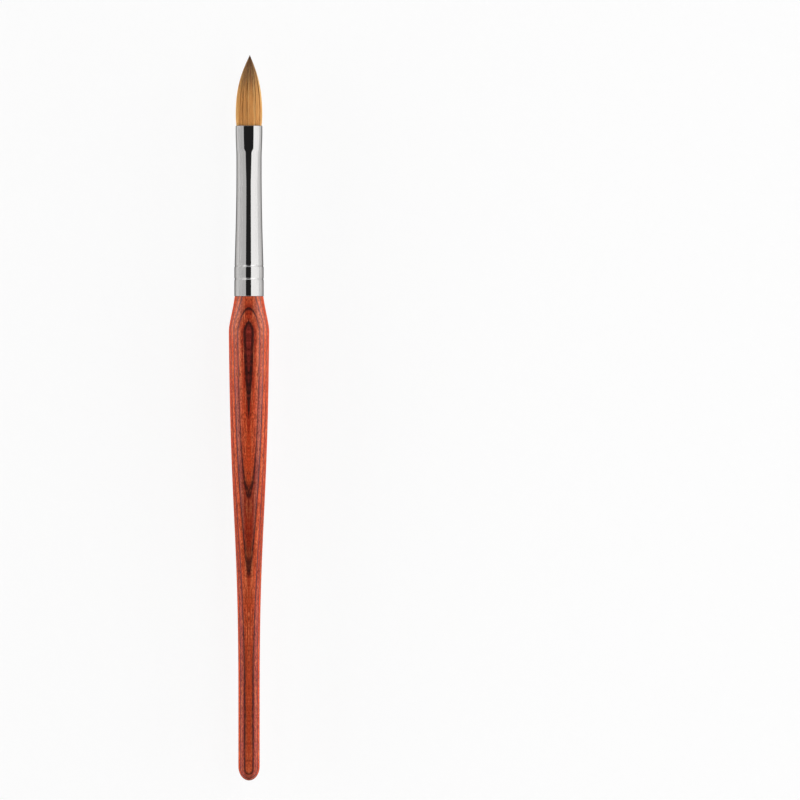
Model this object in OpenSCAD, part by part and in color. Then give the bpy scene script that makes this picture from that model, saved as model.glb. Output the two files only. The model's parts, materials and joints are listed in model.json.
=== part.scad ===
// Acrylic nail brush: a turned handle of glued veneers, a drawn metal ferrule and a pointed tuft of hair.
// It lies on its belly along Y, with the tip towards +Y and the wide face of the hair up.

/* [Overall] */
// Length from the tail of the handle to the tip of the hair
total_length = 180; // [176:0.5:184]
// Hair that stands out of the ferrule
hair_length = 17.6; // [16.5:0.1:18.5]
// Length of the ferrule
ferrule_length = 42.3; // [41.5:0.1:43.5]

/* [Handle] */
// Diameter of the belly, the widest place
belly_d = 10.04; // [9.8:0.02:10.4]
// Distance of the belly from the ferrule
belly_reach = 8.9; // [8:0.1:10]
// Diameter at the shoulder, where the ferrule begins
shoulder_d = 7.2; // [7.16:0.02:7.4]
// Diameter of the straight tail
tail_d = 5.3; // [5.1:0.05:5.5]
// Length of the straight tail, without its round end
tail_length = 16.8; // [14:0.1:20]
// Length of the round end
tail_round = 3.5; // [2.5:0.1:4.5]
// Thickness of one veneer
ply_t = 0.8; // [0.79:0.005:0.81]
// Length of the tenon inside the ferrule
tenon_length = 22; // [18:0.5:23]

/* [Ferrule] */
// Outer diameter of the collar at the base
collar_d = 7.26; // [7.2:0.02:7.3]
// Outer diameter of the slim waist
waist_d = 6.24; // [6.2:0.02:6.4]
// Outer width of the pressed mouth
mouth_w = 6.6; // [6.5:0.05:6.8]
// Outer thickness of the pressed mouth
mouth_t = 5.56; // [5.4:0.02:5.8]
// Wall of the tube
wall_t = 0.25; // [0.24:0.01:0.27]
// Depth of the two rolled grooves
groove_depth = 0.12; // [0.08:0.01:0.14]
// Glue between the tenon and the tube
glue_t = 0.2; // [0.18:0.01:0.24]

/* [Hair] */
// Width of the tuft at its fullest
hair_w = 6.48; // [6.2:0.02:6.6]
// Thickness of the tuft at its fullest
hair_t = 5.38; // [5.1:0.02:5.5]
// Rings of hairs around the core, giving six times their square in hairs
hair_rings = 8; // [8:1:9]
// Share of its own cell that each hair fills
hair_share = 0.8; // [0.7:0.02:0.9]
// How far the outermost hairs end below the tip
tip_stagger = 1.2; // [0.8:0.1:1.6]

/* [Hidden] */
$fn = 32;
axis_height = belly_d / 2;
handle_length = total_length - hair_length - ferrule_length;
joint_y = handle_length - total_length / 2;
clear = 0.02;

// Handle outline, along the axis from the shoulder: the neck swells to the belly and then tapers to the tail
belly_r = belly_d / 2;
shoulder_r = shoulder_d / 2;
tail_r = tail_d / 2;
shoulder_round = 0.2;
neck_rise = 0.52;
neck_lead = 0.46 * belly_reach;
neck_ease = 0.73 * belly_reach;
taper_drop = 0.4;
taper_middle = 55.7;
tail_start = handle_length - tail_round - tail_length;
neck_curve = [
    [shoulder_r, -shoulder_round],
    [shoulder_r + neck_rise, -neck_lead],
    [belly_r, -neck_ease],
    [belly_r, -belly_reach]
];
taper_curve = [
    [belly_r, -belly_reach],
    [belly_r - taper_drop, -taper_middle],
    [tail_r, -taper_middle],
    [tail_r, -tail_start]
];
neck_steps = 6;
taper_steps = 10;
round_step = 18;

// Veneers, counted from the underside up
half_count = ceil(belly_r / ply_t);
ply_count = 2 * half_count;
// Facets around the outermost veneer, and how fast they get fewer inwards
skin_sides = 176;
skin_fade = 1.5;
// The veneers are cupped a little, so each glue line dips towards the axis along its middle
ply_cup = 0.01;

// Ferrule outline, along the axis from the shoulder
collar_r = collar_d / 2;
waist_r = waist_d / 2;
end_round = 0.18;
grooves = [4.3, 7.5];
groove_half = 0.35;
groove_steps = 2;
taper_from = grooves[1];
taper_to = 30;
taper_r = 3.58;
taper_power = 1.6;
tube_steps = 6;
press_from = 34;
press_to = 38;
flare_to = 41;
press_power = 2.4;
tube_end = press_from + 0.2;
tube_lap = 0.4;
mouth_sides = 40;
mouth_rings = 5;
rim_round = 0.08;

// Hair, with heights measured from the mouth
hair_belly = 2.8;
hair_power = 2.3;
slice_top = -0.4;
slice_t = 0.6;
root_gap = 0.08;
foot_w = mouth_w / 2 - wall_t - root_gap;
foot_t = mouth_t / 2 - wall_t - root_gap;
hair_levels = [hair_belly, 9.2, 13.7];
tip_overrun = 0.6;

// Root of the hair inside the ferrule, with heights measured from the mouth
root_top = slice_top - slice_t - root_gap;
root_end = -13;
tie_top = -9.6;
tie_end = -12.4;
tie_r = 2.3;
butt_r = 2.45;
root_sides = 24;
root_steps = 5;
thread_t = 0.3;
thread_gap = 0.2;
epoxy_top = -8;
epoxy_end = -18;

function ply_name(i) = str("handle_ply_", i < 10 ? "0" : "", i);
// Place of a veneer, counted inwards from the nearer face of the handle
function ply_depth(i) = min(i, ply_count + 1 - i);
// A glue line across the handle, counted from the axis, drawn from one side to the other
function glue_line(line, way) = [
    [-way * belly_d, line * ply_t],
    [0, line * ply_t - sign(line) * ply_cup],
    [way * belly_d, line * ply_t]
];
function ease(t) = t <= 0 ? 0 : t >= 1 ? 1 : t * t * (3 - 2 * t);
function mix(a, b, t) = a + (b - a) * t;

function bezier(p, t) =
    pow(1 - t, 3) * p[0] + 3 * pow(1 - t, 2) * t * p[1] + 3 * (1 - t) * t * t * p[2] + pow(t, 3) * p[3];
function bezier_points(p, steps) = [for (i = [1 : steps]) bezier(p, i / steps)];

// Radius of the tube outside, without its grooves
function tube_r(z) =
    z < taper_from ? collar_r :
    z > taper_to ? waist_r :
    waist_r + (taper_r - waist_r) * pow((taper_to - z) / (taper_to - taper_from), taper_power);
function groove(z, g) = groove_depth * (1 - ease(abs(z - g) / groove_half));
function tube_line(z) = tube_r(z) - groove(z, grooves[0]) - groove(z, grooves[1]);
// Heights at which the tube's outline is drawn: close together in the grooves, wide apart on the taper
tube_heights = concat(
    [for (g = grooves, i = [-groove_steps : groove_steps]) g + groove_half * i / groove_steps],
    [for (i = [1 : tube_steps]) mix(taper_from + groove_half, taper_to, i / tube_steps)]
);

// Half sizes of the ferrule's outside at the pressed mouth
function press(z) = ease((z - press_from) / (press_to - press_from));
function mouth_half_w(z) = mix(waist_r, mouth_w / 2, ease((z - press_from) / (flare_to - press_from)));
function mouth_half_t(z) = mix(waist_r, mouth_t / 2, press(z));
function signed_power(v, p) = sign(v) * pow(abs(v), p);
// One ring of a rounded oval, which is an ellipse at power 2 and boxier above it
function oval_ring(half_w, half_t, power, z, sides) = [
    for (i = [0 : sides - 1]) let (a = 360 * i / sides)
        [half_w * signed_power(cos(a), 2 / power), half_t * signed_power(sin(a), 2 / power), z]
];
function mouth_ring(z, inset) = oval_ring(
    mouth_half_w(z) - inset,
    mouth_half_t(z) - inset,
    mix(2, press_power, press(z)),
    z,
    mouth_sides
);

// Half width and half thickness of the tuft at a height above the mouth
function hair_half(full, foot, height) =
    height < hair_belly
        ? full / 2 - (full / 2 - foot) * pow(1 - height / hair_belly, 2)
        : full / 2 * (1 - pow((height - hair_belly) / (hair_length - hair_belly), hair_power));
function hair_half_w(height) = hair_half(hair_w, foot_w, height);
function hair_half_t(height) = hair_half(hair_t, foot_t, height);

// Cells of the tuft: a disc of rings, six more points in each, cut into triangles with one hair in each
function disc_point(p) =
    p[0] == 0 ? [0, 0] : p[0] / hair_rings * [cos(60 * p[1] / p[0]), sin(60 * p[1] / p[0])];
function disc_index(p) = p[0] == 0 ? 0 : 1 + 3 * p[0] * (p[0] - 1) + p[1] % (6 * p[0]);
disc = [for (j = [0 : hair_rings]) for (i = [0 : max(0, 6 * j - 1)]) disc_point([j, i])];
cells = [
    for (j = [1 : hair_rings], s = [0 : 5], k = [0 : 2 * j - 2])
        let (m = floor(k / 2), out = s * j + m, in = s * (j - 1) + m)
            k % 2 == 0
                ? [[j, out], [j, out + 1], [j - 1, in]]
                : [[j, out + 1], [j - 1, in + 1], [j - 1, in]]
];
function middle(cell) = (disc_point(cell[0]) + disc_point(cell[1]) + disc_point(cell[2])) / 3;

// Lays a shape that stands on the axis down along Y
module lay_down() {
    translate([0, joint_y, axis_height])
        rotate([-90, 0, 0])
            children();
}

// Joins rings of equal count into a skin
// The last ring meets the first where it is closed, and otherwise both ends are capped
module ring_skin(rings, closed = false) {
    sides = len(rings[0]);
    count = len(rings);
    points = [for (r = rings) each r];
    spans = closed ? count - 1 : count - 2;
    walls = [
        for (j = [0 : spans], i = [0 : sides - 1])
            let (a = j * sides, b = (j + 1) % count * sides, n = (i + 1) % sides)
                each [[a + i, b + i, b + n], [a + i, b + n, a + n]]
    ];
    caps = closed ? [] : [
        [for (i = [0 : sides - 1]) i],
        [for (i = [sides - 1 : -1 : 0]) (count - 1) * sides + i]
    ];
    polyhedron(points = points, faces = concat(walls, caps));
}

module turned_handle(sides) {
    tenon_heights = [for (i = [0 : tube_steps]) mix(taper_from, tenon_length, i / tube_steps)];
    tenon = [for (i = [tube_steps : -1 : 0]) [tube_r(tenon_heights[i]) - wall_t - glue_t, tenon_heights[i]]];
    tenon_root_r = tenon[tube_steps][0];
    shoulder = [
        for (a = [90 : -30 : 0])
            [shoulder_r + shoulder_round * (cos(a) - 1), shoulder_round * (sin(a) - 1)]
    ];
    tail_end = tail_start + tail_length;
    tail = [for (a = [0 : round_step : 90]) [tail_r * cos(a), -tail_end - tail_round * sin(a)]];
    rotate_extrude($fn = sides)
        polygon(concat(
            [[0, tenon_length]],
            tenon,
            [[tenon_root_r, 0]],
            shoulder,
            bezier_points(neck_curve, neck_steps),
            bezier_points(taper_curve, taper_steps),
            tail
        ));
}

// What the lathe leaves of one veneer: the turned handle between two glue lines
module turned_ply(i) {
    line = i - 1 - half_count;
    intersection() {
        lay_down()
            turned_handle(max($fn, ceil(skin_sides / pow(ply_depth(i), skin_fade))));
        translate([0, total_length, axis_height])
            rotate([90, 0, 0])
                linear_extrude(2 * total_length)
                    polygon(concat(glue_line(line, 1), glue_line(line + 1, -1)));
    }
}

// One veneer of the handle, where the outermost is only a thin bulging lens, drawn in flat facets
module handle_ply(i) {
    depth = ply_depth(i);
    color(depth == 1 ? [0.36, 0.14, 0.11] : depth % 2 == 0 ? [0.62, 0.24, 0.15] : [0.70, 0.31, 0.20])
        if (depth == 1) {
            hull()
                turned_ply(i);
        } else {
            turned_ply(i);
        }
}

module ferrule() {
    base_end = [for (a = [-90 : 30 : 0]) [collar_r + end_round * (cos(a) - 1), end_round * (1 + sin(a))]];
    outside = concat(base_end, [for (z = tube_heights) [tube_line(z), z]], [[waist_r, tube_end]]);
    bore = [
        for (i = [len(tube_heights) - 1 : -1 : 0])
            [tube_line(tube_heights[i]) - wall_t, tube_heights[i]]
    ];
    lap_z = tube_end - tube_lap;
    rim_z = ferrule_length - rim_round;
    heights = [for (i = [0 : mouth_rings]) mix(tube_end + clear, rim_z, i / mouth_rings)];
    color([0.80, 0.80, 0.82])
        lay_down() {
            rotate_extrude()
                polygon(concat(outside, [[waist_r - wall_t, tube_end]], bore, [[collar_r - wall_t, 0]]));
            ring_skin(concat(
                [mouth_ring(lap_z, wall_t / 3)],
                [for (z = heights) mouth_ring(z, 0)],
                [mouth_ring(ferrule_length, rim_round)],
                [mouth_ring(ferrule_length, wall_t - rim_round / 2)],
                [for (i = [mouth_rings : -1 : 0]) mouth_ring(heights[i], wall_t)],
                [mouth_ring(lap_z, 2 * wall_t / 3)]
            ), closed = true);
        }
}

// Sleeve of set glue that fills the tube around the tenon
module ferrule_glue() {
    heights = concat([clear], [for (z = tube_heights) if (z < tenon_length) z], [tenon_length]);
    outside = [for (z = heights) [tube_line(z) - wall_t - clear, z]];
    inside = [
        for (i = [len(heights) - 1 : -1 : 0])
            [tube_r(max(heights[i], taper_from)) - wall_t - glue_t + clear, heights[i]]
    ];
    color([0.86, 0.78, 0.60])
        lay_down()
            rotate_extrude()
                polygon(concat(outside, inside));
}

// Gathered hair below the mouth: oval at the top, round at the tie, with cut butt ends
module hair_root() {
    butt = oval_ring(butt_r, butt_r, 2, ferrule_length + root_end, root_sides);
    tie = oval_ring(tie_r, tie_r, 2, ferrule_length + tie_end, root_sides);
    neck = [
        for (i = [0 : root_steps])
            let (t = i / root_steps)
                oval_ring(
                    mix(tie_r, foot_w, ease(t)),
                    mix(tie_r, foot_t, ease(t)),
                    2,
                    ferrule_length + mix(tie_top, root_top, t),
                    root_sides
                )
    ];
    color([0.50, 0.33, 0.18])
        lay_down()
            ring_skin(concat([butt, tie], neck));
}

// Band of wound thread that ties the root at its waist
module root_thread() {
    low = ferrule_length + tie_end + thread_gap;
    color([0.90, 0.88, 0.82])
        lay_down()
            rotate_extrude()
                translate([tie_r + clear, low])
                    square([thread_t, tie_top - tie_end - 2 * thread_gap]);
}

// Resin that locks the tied root in the tube: a plug below it and a wall around it
module root_epoxy() {
    plug_r = waist_r - wall_t - clear;
    cup_r = tie_r + thread_t + 2 * clear;
    floor_z = ferrule_length + root_end - clear;
    color([0.75, 0.62, 0.32])
        lay_down()
            difference() {
                translate([0, 0, ferrule_length + epoxy_end])
                    cylinder(r = plug_r, h = epoxy_top - epoxy_end);
                translate([0, 0, floor_z])
                    cylinder(r = cup_r, h = ferrule_length);
            }
}

// Hair outside the ferrule: a thin slice of the bundle with one tapering hair on each of its cells
module hair_tuft() {
    low_z = ferrule_length + slice_top - slice_t;
    top_z = ferrule_length + slice_top;
    rim_count = 6 * hair_rings;
    disc_count = len(disc);
    rim_first = disc_count - rim_count;
    hair_first = disc_count + rim_count;
    level_count = len(hair_levels);
    hair_points = 3 * level_count + 1;
    last = hair_levels[level_count - 1];
    core = norm(middle(cells[0]));

    slice = concat(
        [for (p = disc) [foot_w * p[0], foot_t * p[1], top_z]],
        [for (i = [rim_first : disc_count - 1]) [foot_w * disc[i][0], foot_t * disc[i][1], low_z]]
    );
    hairs = [
        for (cell = cells)
            let (
                c = middle(cell),
                end = hair_length - tip_stagger * (norm(c) - core),
                narrow = (hair_length + tip_overrun - end) / (hair_length + tip_overrun - last)
            )
            each concat(
                [
                    for (height = hair_levels, corner = cell)
                        let (p = mix(c, disc_point(corner), hair_share))
                            [hair_half_w(height) * p[0], hair_half_t(height) * p[1], ferrule_length + height]
                ],
                [[hair_half_w(last) * narrow * c[0], hair_half_t(last) * narrow * c[1], ferrule_length + end]]
            )
    ];
    hair_faces = [
        for (h = [0 : len(cells) - 1])
            let (
                first = hair_first + h * hair_points,
                foot = [for (corner = cells[h]) disc_index(corner)],
                apex = first + hair_points - 1
            )
            for (e = [0 : 2])
                let (n = (e + 1) % 3)
                    each concat(
                        [[foot[e], first + e, first + n], [foot[e], first + n, foot[n]]],
                        [
                            for (k = [0 : level_count - 2])
                                let (a = first + 3 * k)
                                    each [[a + e, a + 3 + e, a + 3 + n], [a + e, a + 3 + n, a + n]]
                        ],
                        [[apex - 3 + e, apex, apex - 3 + n]]
                    )
    ];
    rim_faces = [
        for (i = [0 : rim_count - 1])
            let (n = (i + 1) % rim_count, low = disc_count)
                each [
                    [low + i, rim_first + i, rim_first + n],
                    [low + i, rim_first + n, low + n]
                ]
    ];
    floor_face = [[for (i = [0 : rim_count - 1]) disc_count + i]];
    color([0.62, 0.41, 0.22])
        lay_down()
            polyhedron(points = concat(slice, hairs), faces = concat(hair_faces, rim_faces, floor_face));
}

for (i = [1 : ply_count]) {
    handle_ply(i);
}
ferrule();
ferrule_glue();
hair_root();
root_thread();
root_epoxy();
hair_tuft();
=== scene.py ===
import json
import math

import bpy
import numpy as np
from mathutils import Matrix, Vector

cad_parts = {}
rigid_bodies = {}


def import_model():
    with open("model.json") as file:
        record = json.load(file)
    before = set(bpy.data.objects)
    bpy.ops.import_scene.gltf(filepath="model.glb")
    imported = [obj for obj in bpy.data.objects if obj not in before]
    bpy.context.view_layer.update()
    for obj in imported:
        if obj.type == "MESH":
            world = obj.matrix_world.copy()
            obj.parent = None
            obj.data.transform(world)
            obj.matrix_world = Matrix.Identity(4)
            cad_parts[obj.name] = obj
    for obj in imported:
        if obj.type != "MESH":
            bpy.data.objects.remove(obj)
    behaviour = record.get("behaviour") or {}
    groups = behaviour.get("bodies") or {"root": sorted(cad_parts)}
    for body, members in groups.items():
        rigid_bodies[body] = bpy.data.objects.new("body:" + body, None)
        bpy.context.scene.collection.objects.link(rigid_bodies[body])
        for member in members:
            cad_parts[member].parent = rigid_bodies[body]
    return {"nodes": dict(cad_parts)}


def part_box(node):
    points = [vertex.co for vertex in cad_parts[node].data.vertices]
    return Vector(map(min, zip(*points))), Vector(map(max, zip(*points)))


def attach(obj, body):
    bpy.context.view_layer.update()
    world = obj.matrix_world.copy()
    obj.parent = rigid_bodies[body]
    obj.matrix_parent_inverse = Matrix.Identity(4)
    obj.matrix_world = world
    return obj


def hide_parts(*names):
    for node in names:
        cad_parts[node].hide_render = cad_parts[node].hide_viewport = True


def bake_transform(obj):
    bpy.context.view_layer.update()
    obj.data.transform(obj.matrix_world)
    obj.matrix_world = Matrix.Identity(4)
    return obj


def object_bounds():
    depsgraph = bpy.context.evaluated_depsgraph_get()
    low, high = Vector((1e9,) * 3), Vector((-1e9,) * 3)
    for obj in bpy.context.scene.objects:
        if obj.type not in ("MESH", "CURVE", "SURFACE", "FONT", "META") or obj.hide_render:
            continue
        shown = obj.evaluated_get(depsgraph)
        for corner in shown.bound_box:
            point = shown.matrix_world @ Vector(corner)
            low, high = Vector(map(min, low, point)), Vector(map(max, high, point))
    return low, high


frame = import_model()
cadBox = [list(corner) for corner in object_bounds()]
mm = 0.001  # shapes are worked out in millimetres and scaled as they become meshes
fullTurn, quarterTurn = 2 * math.pi, math.pi / 2
rng = np.random.default_rng(11)

ferruleLow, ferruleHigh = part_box("ferrule")
jointY = ferruleLow.y / mm  # where the handle meets the ferrule
mouthY = ferruleHigh.y / mm
axisZ = (ferruleLow.z + ferruleHigh.z) / 2 / mm
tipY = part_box("hair_tuft")[1].y / mm
tailY = cadBox[0][1] / mm
print("frame:", len(frame["nodes"]), "nodes, axis at", round(axisZ, 3), "mm")


# Shader maths: a wire is a socket that can be added, multiplied and so on
class Wire:
    def __init__(self, tree, socket=None):
        self.tree = tree
        self.socket = socket

    def node(self, kind, settings=None, inputs=None, out=0):  # any node: its settings first, then its sockets
        made = self.tree.nodes.new("ShaderNode" + kind)
        for name, value in (settings or {}).items():
            if name == "stops":
                ramp = made.color_ramp
                while len(ramp.elements) < len(value):
                    ramp.elements.new(1)
                for element, (place, colour) in zip(ramp.elements, value):
                    element.position = place
                    element.color = colour
            elif name == "interpolation":
                made.color_ramp.interpolation = value
            else:
                setattr(made, name, value)
        for name, value in (inputs or {}).items():
            if isinstance(value, Wire):
                self.tree.links.new(value.socket, made.inputs[name])
            else:
                made.inputs[name].default_value = value
        return Wire(self.tree, made.outputs[out] if len(made.outputs) else None)

    def maths(self, operation, *values):
        return self.node("Math", {"operation": operation}, dict(enumerate(values)))

    def __add__(self, other):
        return self.maths("ADD", self, other)

    def __sub__(self, other):
        return self.maths("SUBTRACT", self, other)

    def __rsub__(self, other):
        return self.maths("SUBTRACT", other, self)

    def __mul__(self, other):
        return self.maths("MULTIPLY", self, other)

    def __truediv__(self, other):
        return self.maths("DIVIDE", self, other)

    def __rtruediv__(self, other):
        return self.maths("DIVIDE", other, self)

    def __abs__(self):
        return self.maths("ABSOLUTE", self)

    __radd__ = __add__
    __rmul__ = __mul__

    def larger(self, other):
        return self.maths("MAXIMUM", self, other)

    def smaller(self, other):
        return self.maths("MINIMUM", self, other)

    def whole(self):
        return self.maths("FLOOR", self)

    def ease(self, low, high):  # 0 below low, 1 above high, smooth between
        sockets = {"Value": self, "From Min": low, "From Max": high}
        return self.node("MapRange", {"interpolation_type": "SMOOTHSTEP"}, sockets)

    def band(self, rise, fall):  # comes in over rise and goes out over fall, and either may be None
        inside = self.ease(*rise) if rise else 1
        return inside * (1 - self.ease(*fall)) if fall else inside

    def blendColour(self, first, second):  # this wire is the factor
        return self.node("Mix", {"data_type": "RGBA"}, {0: self, 6: first, 7: second}, out=2)

    def tinted(self, shade):  # this colour times a number
        sockets = {0: 1.0, 6: self, 7: self.joined(shade, shade, shade)}
        return self.node("Mix", {"data_type": "RGBA", "blend_type": "MULTIPLY"}, sockets, out=2)

    def ramp(self, stops, interpolation="LINEAR"):  # stops are places from 0 to 1 and screen colours
        stops = [(place, tone(*colour)) for place, colour in stops]
        return self.node("ValToRGB", {"interpolation": interpolation, "stops": stops}, {0: self})

    def split(self):
        made = self.node("SeparateXYZ", inputs={0: self}).socket.node
        return [Wire(self.tree, socket) for socket in made.outputs]

    def joined(self, x, y, z):
        return self.node("CombineXYZ", inputs={0: x, 1: y, 2: z})

    def noise(self, cells, detail, shift=(0, 0, 0)):  # this wire is a point, with so many cells to its unit
        spot = self.node("VectorMath", {"operation": "MULTIPLY_ADD"}, {0: self, 1: cells, 2: shift})
        sockets = {"Vector": spot, "Scale": 1.0, "Detail": detail}
        return self.node("TexNoise", {"noise_dimensions": "3D"}, sockets) - 0.5  # centred on 0

    def bump(self, height, depth):  # depth in millimetres
        return self.node("Bump", inputs={"Height": height, "Strength": 1.0, "Distance": depth * mm})


rayKinds = ("Camera", "Glossy", "Transmission")


def tone(red, green, blue):  # a colour read off a screen, made linear
    parts = np.array([red, green, blue]) / 255
    linear = np.where(parts <= 0.04045, parts / 12.92, ((parts + 0.055) / 1.055) ** 2.4)
    return (*linear.tolist(), 1.0)


def newMaterial(name, paint, veil=(), **fixed):  # paint returns the sockets that vary, fixed are constants
    material = bpy.data.materials.new(name)
    material.use_nodes = True
    tree = material.node_tree
    tree.nodes.clear()
    start = Wire(tree)
    place = start.node("TexCoord", out="Object")
    spot = start.node("VectorMath", {"operation": "SCALE"}, {0: place, "Scale": 1 / mm})  # in millimetres
    shader = start.node("BsdfPrincipled", inputs={**fixed, **paint(start, spot)})
    if veil:  # part of what the camera sees, straight or in a reflection, is plain white
        camera, glossy, through = [start.node("LightPath", out=f"Is {ray} Ray") for ray in rayKinds]
        straight, mirrored = veil
        seen = camera * straight + (glossy + through) * mirrored
        white = start.node("Emission", inputs={"Strength": 1.0})
        shader = start.node("MixShader", inputs={0: seen, 1: shader, 2: white})
    start.node("OutputMaterial", inputs={"Surface": shader})
    return material


# Meshes from grids of points
meshing = {"weldStep": 1e-5, "sharpTurn": 35, "tiny": 1e-7}  # lengths in millimetres, turn in degrees


def skinMesh(name, grid, wrapRows=False, creaseCols=()):
    # every four neighbours on the grid make a face, and the columns close round
    # points that coincide are welded, and faces that close up go
    rows, cols = grid.shape[:2]
    rowCount = rows if wrapRows else rows - 1
    row, col = np.meshgrid(np.arange(rowCount), np.arange(cols), indexing="ij")
    here, above = row * cols, (row + 1) % rows * cols
    beside = (col + 1) % cols
    quads = np.stack([here + col, here + beside, above + beside, above + col], -1)
    points = grid.reshape(-1, 3)
    keys = np.round(points / meshing["weldStep"]).astype(np.int64)
    _, first, weld = np.unique(keys, axis=0, return_index=True, return_inverse=True)
    weld = weld.reshape(-1)
    points = points[first]
    quads = weld[quads.reshape(-1, 4)]
    closed = quads == np.roll(quads, -1, axis=1)  # a corner that fell on the next one
    threes = quads[closed.sum(1) == 1]
    turn = closed[closed.sum(1) == 1].argmax(1)[:, None] + 1 + np.arange(3)
    threes = np.take_along_axis(threes, turn % 4, axis=1)
    quads = quads[~closed.any(1)]
    corners = [points[t] for t in np.concatenate([threes, quads[:, :3], quads[:, [0, 2, 3]]]).T]
    volume = np.einsum("ij,ij->i", corners[0], np.cross(corners[1], corners[2])).sum()
    if volume < 0:
        threes, quads = threes[:, ::-1], quads[:, ::-1]
    mesh = bpy.data.meshes.new(name)
    mesh.from_pydata((points * mm).tolist(), [], quads.tolist() + threes.tolist())
    mesh.shade_smooth()
    mesh.set_sharp_from_angle(angle=math.radians(meshing["sharpTurn"]))
    if len(creaseCols):
        markCreases(mesh, weld.reshape(rows, cols)[:, list(creaseCols)], len(points))
    return addPiece(name, mesh)


def markCreases(mesh, lines, count):
    # each column of lines is a run of points whose edges stay sharp
    ends = np.sort(np.stack([lines[:-1], lines[1:]], -1).reshape(-1, 2), axis=1)
    pairs = np.empty(2 * len(mesh.edges), np.int32)
    mesh.edges.foreach_get("vertices", pairs)
    pairs = np.sort(pairs.reshape(-1, 2), axis=1).astype(np.int64)
    hit = np.isin(pairs[:, 0] * count + pairs[:, 1], ends[:, 0] * count + ends[:, 1])
    sharp = mesh.attributes.get("sharp_edge") or mesh.attributes.new("sharp_edge", "BOOLEAN", "EDGE")
    before = np.empty(len(mesh.edges), bool)
    sharp.data.foreach_get("value", before)
    sharp.data.foreach_set("value", before | hit)


def addPiece(name, mesh):
    piece = bpy.data.objects.new(name, mesh)
    bpy.context.scene.collection.objects.link(piece)
    return piece


def ease(t):  # 0 up to 0, 1 from 1 on, smooth between
    t = np.clip(t, 0, 1)
    return t * t * (3 - 2 * t)


# Ferrule
ferrule = {
    "collarR": 3.63, "waistR": 3.12, "wall": 0.25, "sides": 144,
    "grooves": (4.3, 7.5), "grooveDepth": 0.12, "grooveHalf": 0.3, "grooveSteps": 17,
    "taperFrom": 7.5, "taperTo": 30.0, "taperR": 3.58, "taperPower": 1.6, "taperGap": 0.4, "taperSteps": 50,
    "pressFrom": 27.0, "shoulder": (35.5, 36.7), "shoulderShare": 0.74, "pressPower": 2.6, "pressTurn": 2.0,
    "flareFrom": 34.0, "flareTo": 41.0, "flareGap": 0.1, "flareSteps": 70,
    "mouthHalfW": 3.3, "mouthHalfT": 2.78,
    "endRound": 0.18, "rimRound": 0.1, "rimGap": 0.2, "roundSteps": 9,
    "colour": (0.64, 0.63, 0.62, 1), "edgeTint": (0.0, 0.0, 0.0, 1),
    "drawn": ((9, 0.12, 9), 3), "haze": ((0.5, 0.25, 0.5), 3),  # cells a millimetre, and detail
    "roughness": 0.055, "drawnRough": 0.03, "hazeRough": 0.04, "drawnDepth": 0.0006,
}


def tubeRadius(z):
    # collar, then a power curve down to the waist
    f = ferrule
    fall = np.clip((f["taperTo"] - z) / (f["taperTo"] - f["taperFrom"]), 0, 1) ** f["taperPower"]
    return np.where(z < f["taperFrom"], f["collarR"], f["waistR"] + (f["taperR"] - f["waistR"]) * fall)


def ferruleSkin():
    # an oval carried up the tube: round, then pressed flat, in one closed sheet of outer and inner wall
    f = ferrule
    length = mouthY - jointY
    turn = np.linspace(0, quarterTurn, f["roundSteps"])
    base = f["endRound"] * (1 - np.cos(turn))
    rim = length - f["rimRound"] * (1 - np.cos(turn[::-1]))
    beds = [np.linspace(g - f["grooveHalf"], g + f["grooveHalf"], f["grooveSteps"]) for g in f["grooves"]]
    taper = np.linspace(f["taperFrom"] + f["taperGap"], f["flareFrom"], f["taperSteps"])
    mouth = np.linspace(f["flareFrom"] + f["flareGap"], length - f["rimGap"], f["flareSteps"])
    z = np.concatenate([base, *beds, taper, mouth, rim])
    bare = tubeRadius(z)
    for g in f["grooves"]:
        bare = bare - f["grooveDepth"] * (1 - ease(np.abs(z - g) / f["grooveHalf"]))
    low, high = f["shoulder"]
    slow = ease((z - f["pressFrom"]) / (low - f["pressFrom"]))
    press = (1 - f["shoulderShare"]) * slow + f["shoulderShare"] * ease((z - low) / (high - low))
    flare = ease((z - f["flareFrom"]) / (f["flareTo"] - f["flareFrom"]))
    halfW = bare + (f["mouthHalfW"] - f["waistR"]) * flare
    halfT = bare + (f["mouthHalfT"] - f["waistR"]) * press
    power = 2 + (f["pressPower"] - 2) * press

    def roundIn(gap, radius):  # how far a rounded end draws in at a distance from it
        return radius - np.sqrt(np.maximum(radius ** 2 - np.clip(radius - gap, 0, radius) ** 2, 0))

    inset = roundIn(z, f["endRound"]) + roundIn(length - z, f["rimRound"])
    inset = np.concatenate([inset, np.full(len(inset), f["wall"])])[:, None]
    z, halfW, halfT, power, press = [  # up the outside, then down the inside
        np.concatenate([run, run[::-1]])[:, None] for run in (z, halfW, halfT, power, press)]
    a = np.linspace(0, fullTurn, f["sides"], endpoint=False)[None]
    x = (halfW - inset) * np.sign(np.cos(a)) * np.abs(np.cos(a)) ** (2 / power)
    up = (halfT - inset) * np.sign(np.sin(a)) * np.abs(np.sin(a)) ** (2 / power)
    y = np.broadcast_to(jointY + z, x.shape)
    twist = np.radians(f["pressTurn"]) * press  # the press sat a little askew
    across = x * np.cos(twist) - up * np.sin(twist)
    return np.stack([across, y, axisZ + up * np.cos(twist) + x * np.sin(twist)], -1)


def metalPaint(start, spot):
    drawn = spot.noise(*ferrule["drawn"])  # faint lines from drawing the tube
    haze = spot.noise(*ferrule["haze"])
    return {
        "Roughness": drawn * ferrule["drawnRough"] + haze * ferrule["hazeRough"] + ferrule["roughness"],
        "Normal": start.bump(drawn, ferrule["drawnDepth"]),
    }


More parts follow.
